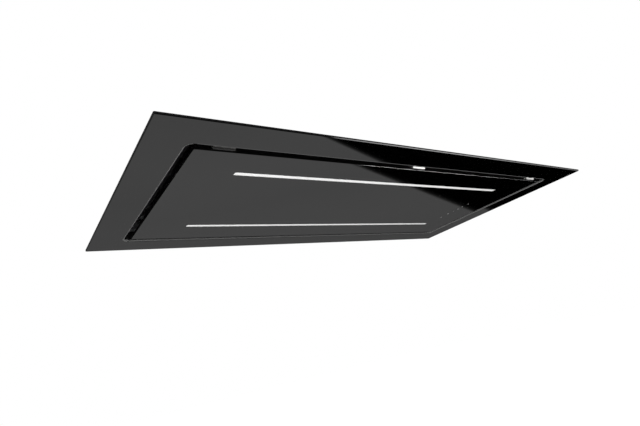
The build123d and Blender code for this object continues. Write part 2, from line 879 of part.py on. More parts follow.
def outlet_mouth(low, high):
    """The duct's opening through the flange at its end."""
    half = duct_width / 2
    return block(-half, half, scroll_outlet_y - 2 * scroll_rim_thickness, scroll_outlet_y, low, high)


def make_inlet_ring():
    """Spun bell-mouth that leads the air into the impeller, with its flange under the scroll's floor."""
    edge = bell_rim_r + bell_flange
    flange = [(edge, scroll_bottom - bell_sheet), (edge, scroll_bottom)]
    return lathe(bell_arc(bell_r) + flange + bell_arc(bell_r - bell_sheet)[::-1], (blower_x, blower_y))


def make_scroll_lower():
    """Lower half, with a round opening for the inlet ring."""
    floor_top = scroll_bottom + scroll_wall
    rim_low = blower_z - scroll_rim_thickness
    shell = volute_slab(scroll_wall, scroll_bottom, blower_z)
    shell += volute_slab(scroll_wall + scroll_rim, rim_low, blower_z)
    shell += outlet_flange(scroll_bottom - scroll_rim, blower_z)
    shell -= volute_slab(0, floor_top, blower_z)
    shell -= outlet_mouth(floor_top, blower_z)
    shell -= blower_rod(bell_rim_r + bell_play, scroll_bottom, blower_z)
    return shell - screw_holes(rim_low, blower_z)


def make_scroll_upper():
    """Upper half, with the opening for the motor."""
    roof = scroll_top - scroll_wall
    rim_high = blower_z + scroll_rim_thickness
    shell = volute_slab(scroll_wall, blower_z, scroll_top)
    shell += volute_slab(scroll_wall + scroll_rim, blower_z, rim_high)
    shell += outlet_flange(blower_z, scroll_top + scroll_rim)
    shell -= volute_slab(0, blower_z, roof)
    shell -= outlet_mouth(blower_z, roof)
    shell -= blower_rod(motor_opening_r, roof, scroll_top)
    return shell - screw_holes(blower_z, rim_high)


def make_scroll_screws():
    """Screws from below through the joint of the two halves."""
    low = blower_z - scroll_rim_thickness
    length = 2 * scroll_rim_thickness + scroll_screw_tail
    size = (scroll_screw_r, length, scroll_screw_head_r, scroll_screw_head)
    return [hex_screw((x, y, low), (0, 0, 1), *size) for x, y in scroll_screw_places()]


def make_blower_posts():
    """Four rubber posts between the scroll and the casing's top."""
    reach = post_circle_r * cos(pi / 4)
    places = [(blower_x + sx * reach, blower_y + sy * reach) for sx in (-1, 1) for sy in (-1, 1)]
    return [rod(post_r, (x, y, scroll_top), (0, 0, 1), post_length) for x, y in places]


# ---- Impeller and motor ------------------------------------------------------------------------------


def make_impeller():
    """Forward-curved blade ring: curved blades between two rings."""
    half = blade_thickness / 2
    outer = CenterArc((blade_inner_r, blade_r), blade_r + half, -90, blade_turn)
    inner = CenterArc((blade_inner_r, blade_r), blade_r - half, -90, blade_turn)
    outline = make_face([outer, inner, Line(outer @ 0, inner @ 0), Line(outer @ 1, inner @ 1)])
    blade = extrude(Pos(0, 0, blade_bottom) * outline, blade_top - blade_bottom)
    blades = [Rot(0, 0, 360 * i / blade_count) * blade for i in range(blade_count)]
    centre = Pos(blower_x, blower_y, 0)
    ring = rod(wheel_r, (0, 0, wheel_bottom), (0, 0, 1), wheel_ring)
    ring -= rod(wheel_ring_inner_r, (0, 0, wheel_bottom), (0, 0, 1), wheel_ring)
    back = rod(wheel_r, (0, 0, blade_top), (0, 0, 1), wheel_plate)
    back -= rod(dish_rim_r, (0, 0, blade_top), (0, 0, 1), wheel_plate)
    return centre * (back + ring + blades)


def make_impeller_disc():
    """Disc dished round the motor, with the hub, pressed into the blade ring."""
    foot_low = hub_top - wheel_plate * 2
    return lathe(
        [
            (shaft_r, hub_bottom),
            (hub_r, hub_bottom),
            (hub_r, foot_low),
            (dish_foot_r, foot_low),
            (dish_rim_r, blade_top),
            (dish_rim_r, wheel_plate_top),
            (dish_rim_r - wheel_plate, wheel_plate_top),
            (dish_foot_r - wheel_plate, foot_low + wheel_plate),
            (hub_r + wheel_plate, foot_low + wheel_plate),
            (hub_r - wheel_plate, hub_top),
            (shaft_r, hub_top),
        ],
        (blower_x, blower_y),
    )


def make_motor_plate():
    """Steel plate that closes the scroll's top and carries the motor."""
    plate = blower_rod(motor_plate_r, scroll_top, motor_plate_top)
    return plate - blower_rod(motor_boss_r, scroll_top, motor_plate_top)


def make_motor_body():
    """Ribbed motor can under the plate, with a boss through it and seats for two bearings."""
    can = blower_rod(motor_r, motor_bottom, scroll_top)
    can = chamfer(can.edges().group_by(Axis.Z)[0], motor_edge)
    half = motor_rib_width / 2
    rib_end = motor_bottom + 2 * motor_edge
    rib = block(motor_r - half, motor_r + motor_rib_out, -half, half, rib_end, scroll_top)
    centre = Pos(blower_x, blower_y, 0)
    can += [centre * Rot(0, 0, 360 * i / motor_ribs) * rib for i in range(motor_ribs)]
    can += blower_rod(motor_boss_r, scroll_top, scroll_top + motor_boss_height)
    can -= blower_rod(shaft_r + shaft_clear, motor_bottom, scroll_top + motor_boss_height)
    can -= blower_rod(bearing_r, motor_bottom, lower_bearing_z + bearing_height)
    return can - blower_rod(bearing_r, upper_bearing_z, upper_bearing_z + bearing_height)


def make_motor_bearings():
    """The two shaft bearings."""
    rings = []
    for z in (lower_bearing_z, upper_bearing_z):
        ring = blower_rod(bearing_r, z, z + bearing_height)
        rings.append(ring - blower_rod(shaft_r + shaft_running_fit, z, z + bearing_height))
    return rings


def make_motor_shaft():
    """The motor's shaft."""
    return blower_rod(shaft_r, shaft_bottom, shaft_top)


def make_shaft_nut():
    """Flanged nut under the impeller's hub."""
    seat = Plane(origin=(blower_x, blower_y, nut_bottom))
    nut = extrude(seat * RegularPolygon(nut_r, 6), nut_height)
    nut += blower_rod(nut_r + nut_flange, hub_bottom - nut_flange, hub_bottom)
    return nut - blower_rod(shaft_r, nut_bottom, hub_bottom)


# ---- Outlet ------------------------------------------------------------------------------------------


def outlet_plane(y):
    """A plane across the outlet."""
    return Plane(origin=(0, y, blower_z), x_dir=(1, 0, 0), z_dir=(0, 1, 0))


def turned(points):
    """Turns an outline of (radius, y) points round the outlet's axis."""
    outline = make_face(Polyline([(r, y, blower_z) for r, y in points], close=True))
    return revolve(outline, Axis((0, 0, blower_z), (0, 1, 0)))


def make_outlet_adapter():
    """Moulded cone from the plate on the scroll's outlet to the round hole in the casing."""
    start = scroll_outlet_y
    end = casing_y / 2
    throat = duct_height / 2
    seat = start + adapter_flange_thickness
    ring = end - adapter_flange_thickness
    outside = [
        (throat + adapter_wall, seat),
        (collar_bore_r + adapter_wall, ring),
        (collar_bore_r + adapter_flange, ring),
        (collar_bore_r + adapter_flange, end),
    ]
    cone = turned([(throat, start), (throat + adapter_wall, start)] + outside + [(collar_bore_r, end)])
    half_x = duct_width / 2 + scroll_wall + scroll_rim
    half_z = duct_height / 2 + scroll_wall + scroll_rim
    plate = block(-half_x, half_x, start, seat, blower_z - half_z, blower_z + half_z)
    return plate - rod(throat, (0, start, blower_z), (0, 1, 0), seat - start) + cone


def make_outlet_collar():
    """Round collar outside the casing, with a flange, and a seat for the flaps."""
    tube = extrude(outlet_plane(collar_y) * Circle(collar_r), collar_length)
    tube += extrude(outlet_plane(collar_y) * Circle(collar_flange_r), collar_flange)
    tube -= extrude(outlet_plane(collar_y) * Circle(collar_bore_r), collar_length)
    seat = extrude(outlet_plane(seat_y) * Circle(collar_bore_r), seat_thickness)
    seat -= extrude(outlet_plane(seat_y) * Circle(collar_bore_r - seat_width), seat_thickness)
    bottom = (0, spindle_y, blower_z - collar_r)
    holes = [rod(spindle_r, bottom, (0, 0, 1), 2 * collar_r)]
    for x, z in collar_screw_places():
        holes.append(rod(scroll_screw_r, (x, collar_y, z), (0, 1, 0), collar_flange))
    return tube + seat - holes


def collar_screw_places():
    """Screws round the collar's flange, between the sheet's edges."""
    reach = collar_screw_circle_r * cos(pi / 4)
    return [(sx * reach, blower_z + sz * reach) for sx in (-1, 1) for sz in (-1, 1)]


def make_collar_screws():
    """Self-tapping screws that hold the collar on the casing."""
    size = (scroll_screw_r, collar_flange, scroll_screw_head_r, scroll_screw_head)
    y = collar_y + collar_flange
    return [hex_screw((x, y, z), (0, -1, 0), *size) for x, z in collar_screw_places()]


def make_damper_spindle():
    """Wire spindle across the collar, with its ends just inside the tube's outer face."""
    reach = collar_r - spindle_end
    return rod(spindle_r, (0, spindle_y, blower_z - reach), (0, 0, 1), 2 * reach)


def flap_knuckles(side):
    """The heights at which the knuckles of one flap start: the two flaps take turns along the spindle."""
    pitch = flap_knuckle + flap_knuckle_gap
    first = blower_z - 2 * pitch + flap_knuckle_gap / 2
    turn = 0 if side < 0 else 1
    return [first + (2 * i + turn) * pitch for i in range(2)]


def make_damper_flap(side):
    """Half-round flap with its knuckles and ribs, notched round the other flap's knuckles."""
    flap = rod(flap_r, (0, flap_y, blower_z), (0, 1, 0), flap_thickness)
    back_y = flap_y + flap_thickness
    flap &= block(side * flap_split, side * flap_r, flap_y, back_y, blower_z - flap_r, blower_z + flap_r)
    start = flap_knuckle_r + flap_rib_root
    end = start + flap_rib_length
    low_y = back_y - flap_rib_sink
    for z in (blower_z - flap_rib_z, blower_z + flap_rib_z):
        flap += block(side * start, side * end, low_y, back_y + flap_rib, z, z + flap_rib_thickness)
    for z in flap_knuckles(-side):
        reach = flap_knuckle_r + 2 * flap_split
        play = flap_knuckle_gap / 4
        flap -= block(-reach, reach, flap_y, back_y, z - play, z + flap_knuckle + play)
    for z in flap_knuckles(side):
        flap += rod(flap_knuckle_r, (0, spindle_y, z), (0, 0, 1), flap_knuckle)
    return flap - rod(spindle_r + spindle_fit, (0, spindle_y, blower_z - flap_r), (0, 0, 1), 2 * flap_r)


# ---- Electrical pieces -------------------------------------------------------------------------------

box_bottom = casing_ceiling - control_height


def make_control_box():
    """Sheet box under the casing's top, open below."""
    outer = slab(control_length, control_width, box_corner, box_bottom, casing_ceiling)
    inner = (control_length - 2 * box_sheet, control_width - 2 * box_sheet)
    outer -= slab(*inner, box_corner - box_sheet, box_bottom, casing_ceiling - box_sheet)
    outer -= rod(gland_r, (0, 0, casing_ceiling - box_sheet), (0, 0, 1), box_sheet)
    return Pos(control_x, control_y, 0) * outer


def make_control_cover():
    """Lid of the box, with a turned-up rim round it."""
    size = (control_length + 2 * box_sheet, control_width + 2 * box_sheet)
    cover = slab(*size, box_corner + box_sheet, box_bottom - box_sheet, box_bottom + cover_rim)
    cover -= slab(control_length, control_width, box_corner, box_bottom, box_bottom + cover_rim)
    return Pos(control_x, control_y, 0) * cover


def make_terminal_block():
    """Mains terminal block on the side wall in the box."""
    top = casing_ceiling - box_sheet
    y0 = control_y + control_width / 2 - box_sheet
    x0 = control_x - terminal_length / 2
    middle = (top + box_bottom) / 2
    shape = block(x0, x0 + terminal_length, y0 - terminal_width, y0, middle, middle + terminal_height)
    pitch = terminal_length / terminal_ways
    for i in range(1, terminal_ways):
        x = x0 + i * pitch
        slit = (x - terminal_slit / 2, x + terminal_slit / 2)
        shape -= block(*slit, y0 - terminal_width, y0 - terminal_back, middle, middle + terminal_height)
    return shape


def make_led_driver():
    """Driver of the light strips, under the casing's top."""
    low = casing_ceiling - driver_height
    driver = slab(driver_length, driver_width, 2 * driver_edge, low, casing_ceiling)
    driver = chamfer(driver.edges().group_by(Axis.Z)[0], driver_edge)
    return Pos(control_x, driver_y, 0) * driver


def make_cable_gland():
    """Plastic gland through the casing's top into the box."""
    low = casing_ceiling - box_sheet - gland_below
    length = casing_height + gland_above - low
    gland = rod(gland_r, (control_x, control_y, low), (0, 0, 1), length)
    nut_face = Plane(origin=(control_x, control_y, casing_height))
    gland += extrude(nut_face * RegularPolygon(gland_flange_r, 6), gland_flange)
    under = Plane(origin=(control_x, control_y, casing_ceiling - box_sheet))
    gland += extrude(under * RegularPolygon(gland_flange_r, 6), -gland_flange)
    return gland - rod(gland_bore_r, (control_x, control_y, low), (0, 0, 1), length)


# ---- Hanging brackets --------------------------------------------------------------------------------


def make_hanging_brackets():
    """Four bent brackets, spot-welded on the casing's top, each with a hole for a hanging rod."""
    foot_x = bracket_x - bracket_foot
    tab_x = bracket_x + bracket_tab
    outline = Polyline(
        (foot_x, 0, casing_height),
        (bracket_x + bracket_sheet, 0, casing_height),
        (bracket_x + bracket_sheet, 0, bracket_tab_z - bracket_sheet),
        (tab_x, 0, bracket_tab_z - bracket_sheet),
        (tab_x, 0, bracket_tab_z),
        (bracket_x, 0, bracket_tab_z),
        (bracket_x, 0, casing_height + bracket_sheet),
        (foot_x, 0, casing_height + bracket_sheet),
        close=True,
    )
    strip = extrude(make_face(outline), bracket_width / 2, dir=(0, 1, 0), both=True)
    sheet_middle = bracket_x + bracket_sheet / 2
    bends = [e for e in strip.edges().filter_by(Axis.Y) if abs(e.center().X - sheet_middle) < bracket_sheet]
    bends.sort(key=lambda e: e.center().Z)
    strip = fillet([bends[0], bends[-1]], bracket_bend_r)
    strip -= rod(rod_hole_r, (rod_x, 0, bracket_tab_z - bracket_sheet), (0, 0, 1), bracket_sheet)
    right = [Pos(0, s * bracket_y, 0) * strip for s in (-1, 1)]
    return right + [mirror(piece, Plane.YZ) for piece in right]


# ---- Write every node --------------------------------------------------------------------------------

os.makedirs("parts", exist_ok=True)

write("casing_top", make_casing_top())
write("casing_side_near", make_casing_side(-1))
write("casing_side_far", make_casing_side(1))
write("casing_ends", *make_casing_ends())
write("flange_frame", make_flange_frame())
write("trim_frame", make_trim_frame())
write("trim_glass", make_trim_glass())
write("trim_screws", *make_trim_screws())
write("panel_glass", make_panel_glass())
write("panel_tray", make_panel_tray())
write("glass_clips", *make_glass_clips())
write("led_profiles", *make_led_profiles())
write("led_diffusers", *make_led_diffusers())
write("led_boards", *make_led_boards())
write("touch_board", make_touch_board())
write("touch_cover", make_touch_cover())
write("hinge_fixed_leaves", *[make_hinge_fixed(x) for x in hinge_x])
write("hinge_moving_leaves", *[make_hinge_moving(x) for x in hinge_x])
write("hinge_pins", *make_hinge_pins())
write("hinge_moving_screws", *make_hinge_moving_screws())
write("catch_brackets", *make_catch_brackets())
write("catch_magnets", *make_catch_magnets())
write("catch_strikers", *make_catch_strikers())
write("filter_plate", make_filter_plate())
write("filter_rails", *make_filter_rails())
for name, x in zip(filter_names, filter_x):
    write("filter_frame_" + name, make_filter_frame(x))
    write("filter_mesh_" + name, make_filter_mesh(x))
    write("filter_latch_" + name, make_filter_latch(x))
write("inlet_ring", make_inlet_ring())
write("scroll_lower", make_scroll_lower())
write("scroll_upper", make_scroll_upper())
write("scroll_screws", *make_scroll_screws())
write("blower_posts", *make_blower_posts())
write("impeller", make_impeller())
write("impeller_disc", make_impeller_disc())
write("motor_plate", make_motor_plate())
write("motor_body", make_motor_body())
write("motor_bearings", *make_motor_bearings())
write("motor_shaft", make_motor_shaft())
write("shaft_nut", make_shaft_nut())
write("outlet_adapter", make_outlet_adapter())
write("outlet_collar", make_outlet_collar())
write("collar_screws", *make_collar_screws())
write("damper_spindle", make_damper_spindle())
write("damper_flap_left", make_damper_flap(-1))
write("damper_flap_right", make_damper_flap(1))
write("control_box", make_control_box())
write("control_cover", make_control_cover())
write("terminal_block", make_terminal_block())
write("led_driver", make_led_driver())
write("cable_gland", make_cable_gland())
write("hanging_brackets", *make_hanging_brackets())
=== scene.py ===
import math

import bmesh
import bpy
from mathutils import Matrix, Vector


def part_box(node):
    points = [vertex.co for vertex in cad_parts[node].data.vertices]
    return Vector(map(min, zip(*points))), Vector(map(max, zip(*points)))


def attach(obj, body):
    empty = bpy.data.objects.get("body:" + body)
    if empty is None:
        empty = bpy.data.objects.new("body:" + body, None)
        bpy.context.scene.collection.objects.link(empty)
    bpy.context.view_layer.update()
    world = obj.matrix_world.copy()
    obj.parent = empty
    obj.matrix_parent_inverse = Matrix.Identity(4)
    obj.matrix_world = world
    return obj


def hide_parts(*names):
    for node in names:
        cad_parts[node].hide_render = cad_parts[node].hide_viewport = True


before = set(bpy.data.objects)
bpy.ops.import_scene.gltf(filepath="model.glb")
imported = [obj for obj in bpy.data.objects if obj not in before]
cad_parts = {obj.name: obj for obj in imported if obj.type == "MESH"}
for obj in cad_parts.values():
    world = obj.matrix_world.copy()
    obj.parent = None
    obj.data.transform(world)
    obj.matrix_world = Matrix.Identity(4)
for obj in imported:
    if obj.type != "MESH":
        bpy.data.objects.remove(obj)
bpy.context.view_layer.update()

# ---- The photographer's place ------------------------------------------------------------------------
# The camera stands under the ceiling, off one corner of the hood, and looks up along it. The place, the
# tilt and the focal length come from the lines of the hood in the photograph.

camera_place = Vector((-0.766162, -0.815820, -0.356909))
camera_right = Vector((0.810782, -0.545776, -0.211568))
camera_up = Vector((-0.008053, -0.371806, 0.928275))
camera_data = bpy.data.cameras.new("photo_camera")
camera_data.sensor_width = 36.0
camera_data.lens = 25.082
camera_data.clip_start = 0.01
camera_data.clip_end = 60.0
camera = bpy.data.objects.new("photo_camera", camera_data)
bpy.context.scene.collection.objects.link(camera)
camera_turn = Matrix((camera_right, camera_up, camera_right.cross(camera_up))).transposed()
camera.matrix_world = Matrix.Translation(camera_place) @ camera_turn.to_4x4()
bpy.context.scene.camera = camera
bpy.context.scene.view_settings.view_transform = "Standard"

# ---- Room: walls of light, ceiling and floor ---------------------------------------------------------
# A white studio. The black glass mirrors a wall that gets darker towards the horizon, and a black flag
# that stands off its far corner. The ceiling is a white sheet round the hood, seen only from below.


def wire(tree, kind, **inputs):
    """Adds a node and fills its inputs, from a value or from another node's output."""
    node = tree.nodes.new(kind)
    for name, value in inputs.items():
        socket = node.inputs[int(name[1:])] if name[0] == "_" else node.inputs[name.replace("_", " ")]
        if isinstance(value, bpy.types.NodeSocket):
            tree.links.new(value, socket)
        else:
            socket.default_value = value
    return node


def calculate(tree, operation, first, second=0.0):
    """One step of arithmetic."""
    node = wire(tree, "ShaderNodeMath", _0=first, _1=second)
    node.operation = operation
    return node.outputs[0]


def along(tree, direction, axis):
    """How far a direction goes along an axis."""
    node = wire(tree, "ShaderNodeVectorMath", _0=direction, _1=axis)
    node.operation = "DOT_PRODUCT"
    return node.outputs["Value"]


def ramp(tree, value, stops):
    """A colour ramp through (place, grey or colour) stops."""
    node = wire(tree, "ShaderNodeValToRGB", Fac=value)
    elements = node.color_ramp.elements
    while len(elements) < len(stops):
        elements.new(0.5)
    for element, (place, colour) in zip(elements, stops):
        element.position = place
        element.color = (*colour, 1.0) if isinstance(colour, tuple) else (colour, colour, colour, 1.0)
    return node.outputs["Color"]


world = bpy.data.worlds.new("studio_walls")
bpy.context.scene.world = world
world.use_nodes = True
walls = world.node_tree
walls.nodes.clear()
way = walls.nodes.new("ShaderNodeTexCoord").outputs["Generated"]
height = wire(walls, "ShaderNodeSeparateXYZ", Vector=way).outputs["Z"]


def blend_of(tree, factor, first, second, how="MIX"):
    """Mixes or multiplies two colours."""
    mix = wire(tree, "ShaderNodeMix")
    mix.data_type = "RGBA"
    mix.blend_type = how
    for place, value in ((0, factor), (6, first), (7, second)):
        if isinstance(value, bpy.types.NodeSocket):
            tree.links.new(value, mix.inputs[place])
        else:
            mix.inputs[place].default_value = value if place == 0 else (value, value, value, 1.0)
    return mix.outputs[2]


lower_wall = ramp(
    walls,
    calculate(walls, "MULTIPLY", height, -1.0),
    [
        (0.0, 0.85), (0.06, 0.113), (0.201, 0.155), (0.230, 0.178),
        (0.304, 0.263), (0.383, 0.357), (0.454, 0.50), (0.56, 0.68),
    ],
)
upper_wall = ramp(walls, height, [(0.0, 0.85), (0.25, 0.5), (0.6, 0.38), (1.0, 0.55)])
skylight = ramp(walls, along(walls, way, (-0.49, -0.64, 0.59)), [(0.70, 0.0), (0.86, 0.35), (0.95, 0.9)])
upper_light = blend_of(walls, 1.0, upper_wall, skylight, "ADD")
flag_side = calculate(walls, "ADD", along(walls, way, (0.2271, -0.6746, -0.7024)), 0.003)
flag_near = along(walls, way, (0.79, 0.55, -0.26))
flag_edge = ramp(
    walls,
    calculate(walls, "MULTIPLY", flag_side, 10.0),
    [(0.0, 1.0), (0.02, 0.6), (0.04, 0.21), (0.06, 0.083), (0.09, 0.023), (0.13, 0.0)],
)
flag_depth = calculate(walls, "LESS_THAN", flag_side, 0.34)
flag_width = calculate(walls, "GREATER_THAN", flag_near, 0.55)
flag_reach = calculate(walls, "MULTIPLY", flag_depth, flag_width)
flagged = blend_of(walls, flag_reach, 1.0, flag_edge)

# Behind the camera stand a second black flag and, to its right, a long strip light. The flat glass
# doesn't look towards them, but its arris and the hinge leaves do.
ahead = along(walls, way, (0.785, -0.62, 0.0))
strip_off = calculate(walls, "ADD", along(walls, way, (0.0, 0.845, -0.533)), 0.5)
strip_across = ramp(walls, strip_off, [(0.492, 0.0), (0.508, 1.0), (0.57, 1.0), (0.61, 0.0)])
strip_ahead = ramp(
    walls, ahead, [(0.748, 0.0), (0.756, 1.0), (0.815, 0.9), (0.83, 0.45), (0.84, 0.1), (0.88, 0.1)]
)
fringe_across = ramp(walls, strip_off, [(0.40, 0.0), (0.43, 0.72), (0.49, 0.72), (0.51, 0.0)])
fringe_ahead = ramp(
    walls, ahead, [(0.748, 0.0), (0.756, 0.6), (0.80, 1.0), (0.838, 0.9), (0.85, 0.5), (0.858, 0.15)]
)
strip_below = calculate(walls, "LESS_THAN", height, -0.2)
strip_core = blend_of(walls, 1.0, strip_across, strip_ahead, "MULTIPLY")
strip_fringe = blend_of(walls, 1.0, fringe_across, fringe_ahead, "MULTIPLY")
strip_light = blend_of(walls, 1.0, strip_core, strip_fringe, "ADD")
strip_power = blend_of(walls, strip_below, 0.0, strip_light)
behind = calculate(walls, "MULTIPLY", strip_below, calculate(walls, "LESS_THAN", ahead, 0.75))
backwards = calculate(walls, "MULTIPLY", along(walls, way, (0.0, 1.0, 0.0)), -1.0)
second_flag = blend_of(walls, behind, 1.0, ramp(walls, backwards, [(0.08, 1.0), (0.26, 0.1)]))
shaded_wall = blend_of(walls, 1.0, lower_wall, second_flag, "MULTIPLY")
lower_light = blend_of(walls, 1.0, shaded_wall, flagged, "MULTIPLY")
mirrored = blend_of(walls, calculate(walls, "GREATER_THAN", height, 0.0), lower_light, upper_light)
rays = walls.nodes.new("ShaderNodeLightPath")
white = (1.0, 1.0, 1.0, 1.0)
seen = wire(walls, "ShaderNodeBackground", Color=white, Strength=1.0)
lit = wire(walls, "ShaderNodeBackground", Color=white, Strength=0.55)
plain_gloss = wire(walls, "ShaderNodeBackground", Color=mirrored, Strength=1.0)
strip_gloss = wire(walls, "ShaderNodeBackground", Color=strip_power, Strength=7.2)
glossed = wire(walls, "ShaderNodeAddShader", _0=plain_gloss.outputs[0], _1=strip_gloss.outputs[0])


def either(tree, factor, first, second):
    """Mixes two shaders."""
    return wire(tree, "ShaderNodeMixShader", _0=factor, _1=first.outputs[0], _2=second.outputs[0])


soft_or_gloss = either(walls, rays.outputs["Is Glossy Ray"], lit, glossed)
all_rays = either(walls, rays.outputs["Is Camera Ray"], soft_or_gloss, seen)
wire(walls, "ShaderNodeOutputWorld", Surface=all_rays.outputs[0])


def studio_sheet(name, corners, hole=None):
    """A flat sheet of the studio, with a hole in it if one is asked for."""
    mesh = bpy.data.meshes.new(name)
    bm = bmesh.new()
    loops = []
    for outline in [corners] + ([hole] if hole else []):
        points = [bm.verts.new(point) for point in outline]
        loops += [bm.edges.new((points[i - 1], points[i])) for i in range(len(points))]
    if hole:
        bmesh.ops.bridge_loops(bm, edges=loops)
    else:
        bmesh.ops.contextual_create(bm, geom=loops)
    bmesh.ops.recalc_face_normals(bm, faces=bm.faces)
    bm.to_mesh(mesh)
    bm.free()
    sheet = bpy.data.objects.new(name, mesh)
    bpy.context.scene.collection.objects.link(sheet)
    return sheet


def oblong(length, width, height):
    """The four corners of a rectangle round the Z axis."""
    x, y = length / 2, width / 2
    return [(-x, -y, height), (x, -y, height), (x, y, height), (-x, y, height)]


def turn_over(sheet, side):
    """Turns a sheet's face up for a side of 1, or down for -1."""
    if sheet.data.polygons[0].normal.z * side < 0:
        sheet.data.flip_normals()


floor_span = 60.0
floor_height = -1.5
floor = studio_sheet("studio_floor", oblong(floor_span, floor_span, floor_height))
floor_paint = bpy.data.materials.new("studio_floor_paint")
floor_paint.use_nodes = True
tree = floor_paint.node_tree
tree.nodes.clear()
rays = tree.nodes.new("ShaderNodeLightPath")
paint = wire(tree, "ShaderNodeBsdfDiffuse", Color=(0.86, 0.86, 0.85, 1.0))
whitening = calculate(tree, "MULTIPLY", rays.outputs["Is Camera Ray"], 0.55)
glow = wire(tree, "ShaderNodeEmission", Color=white, Strength=whitening)
both = wire(tree, "ShaderNodeAddShader", _0=paint.outputs[0], _1=glow.outputs[0])
clear = tree.nodes.new("ShaderNodeBsdfTransparent")
backing = tree.nodes.new("ShaderNodeNewGeometry").outputs["Backfacing"]
looked_through = calculate(tree, "MULTIPLY", rays.outputs["Is Camera Ray"], backing)
wire(tree, "ShaderNodeOutputMaterial", Surface=either(tree, looked_through, both, clear).outputs[0])
floor.data.materials.append(floor_paint)
floor.visible_glossy = False
turn_over(floor, 1)

ceiling_span = 9.0
ceiling_height = -0.0002
ceiling_outline = oblong(ceiling_span, ceiling_span, ceiling_height)
ceiling_hole = oblong(1.188, 0.588, ceiling_height)
ceiling = studio_sheet("studio_ceiling", ceiling_outline, hole=ceiling_hole)
ceiling_paint = bpy.data.materials.new("studio_ceiling_paint")
ceiling_paint.use_nodes = True
tree = ceiling_paint.node_tree
tree.nodes.clear()
rays = tree.nodes.new("ShaderNodeLightPath")
clear = tree.nodes.new("ShaderNodeBsdfTransparent")
glow = wire(tree, "ShaderNodeEmission", Color=white, Strength=1.0)
backing = tree.nodes.new("ShaderNodeNewGeometry").outputs["Backfacing"]
shown = calculate(tree, "MULTIPLY", rays.outputs["Is Camera Ray"], calculate(tree, "SUBTRACT", 1.0, backing))
wire(tree, "ShaderNodeOutputMaterial", Surface=either(tree, shown, clear, glow).outputs[0])
ceiling.data.materials.append(ceiling_paint)
turn_over(ceiling, -1)


def soft_light(name, place, aim, size, power):
    """A large soft lamp that isn't mirrored in the glass."""
    data = bpy.data.lights.new(name, "AREA")
    data.shape = "SQUARE"
    data.size = size
    data.energy = power
    lamp = bpy.data.objects.new(name, data)
    bpy.context.scene.collection.objects.link(lamp)
    turn = (Vector(aim) - Vector(place)).to_track_quat("-Z", "Y")
    lamp.matrix_world = Matrix.Translation(Vector(place)) @ turn.to_matrix().to_4x4()
    return lamp


key = soft_light("key_softbox", (-2.0, -2.6, 2.6), (0, 0, 0.1), 1.8, 75.0)
fill = soft_light("fill_softbox", (2.8, -1.4, 1.6), (0, 0, 0.1), 1.6, 30.0)
lift = soft_light("floor_bounce", (-0.4, -0.6, -1.35), (0, 0, 0), 2.2, 22.0)
for lamp in (key, fill, lift):
    lamp.visible_glossy = False
    lamp.visible_camera = False

# ---- Glass frame -------------------------------------------------------------------------------------
# A flat frame cut from one sheet of 4 mm glass, painted black on its back and bonded under the steel
# frame. Its outer edge is painted, with a polished arris, and the edge of its opening is left ground, with
# painted highlights along the ground arris.

glass_thickness = 0.004
arris = 0.0012
ground_round = 0.003
frame_corner = 0.002
opening_length = 1.063
opening_width = 0.463
opening_corner = 0.015


def rounded_loop(bm, length, width, corner, height, steps=8, middle=(0.0, 0.0)):
    """One closed loop of edges: a rectangle whose corners are rounded."""
    made = bmesh.ops.create_grid(bm, x_segments=1, y_segments=1, size=0.5)["verts"]
    bmesh.ops.scale(bm, vec=(length, width, 1.0), verts=made)
    bmesh.ops.translate(bm, vec=(*middle, height), verts=made)
    face = made[0].link_faces[0]
    if corner > 0:
        rounded = bmesh.ops.bevel(
            bm, geom=made, offset=corner, offset_type="OFFSET", segments=steps, profile=0.5,
            affect="VERTICES", material=-1,
        )
        face = max(rounded["verts"][0].link_faces, key=lambda f: f.calc_area())
    edges = list(face.edges)
    bmesh.ops.delete(bm, geom=[face], context="FACES_ONLY")
    return edges


def finished_piece(name, bm, *finishes):
    """Turns a bmesh into an object at the origin, with its normals outwards."""
    bmesh.ops.remove_doubles(bm, verts=bm.verts, dist=1e-6)
    bmesh.ops.recalc_face_normals(bm, faces=bm.faces)
    mesh = bpy.data.meshes.new(name)
    bm.to_mesh(mesh)
    bm.free()
    piece = bpy.data.objects.new(name, mesh)
    bpy.context.scene.collection.objects.link(piece)
    for finish in finishes:
        mesh.materials.append(finish)
    return piece


def round_edges(bm, edges, size, steps):
    """Rounds sharp edges over."""
    bmesh.ops.bevel(
        bm, geom=edges, offset=size, offset_type="OFFSET", segments=steps, profile=0.5, affect="EDGES",
        material=-1, clamp_overlap=True,
    )


def pull_up(bm, faces, height):
    """Pulls flat faces up, with walls behind them."""
    pulled = bmesh.ops.extrude_face_region(bm, geom=faces)["geom"]
    raised = [part for part in pulled if isinstance(part, bmesh.types.BMVert)]
    bmesh.ops.translate(bm, vec=(0, 0, height), verts=raised)


def thicken(bm, faces, height):
    """Makes a flat sheet into a plate."""
    pull_up(bm, faces, height)
    bmesh.ops.recalc_face_normals(bm, faces=bm.faces)


def rim_edges(bm, keep):
    """The edges between the plate's faces and its sides, where keep says that they are rounded."""
    rims = []
    for edge in bm.edges:
        if len(edge.link_faces) == 2:
            flat = [abs(f.normal.z) > 0.5 for f in edge.link_faces]
            if flat[0] != flat[1] and keep(edge.verts[0].co):
                rims.append(edge)
    return rims


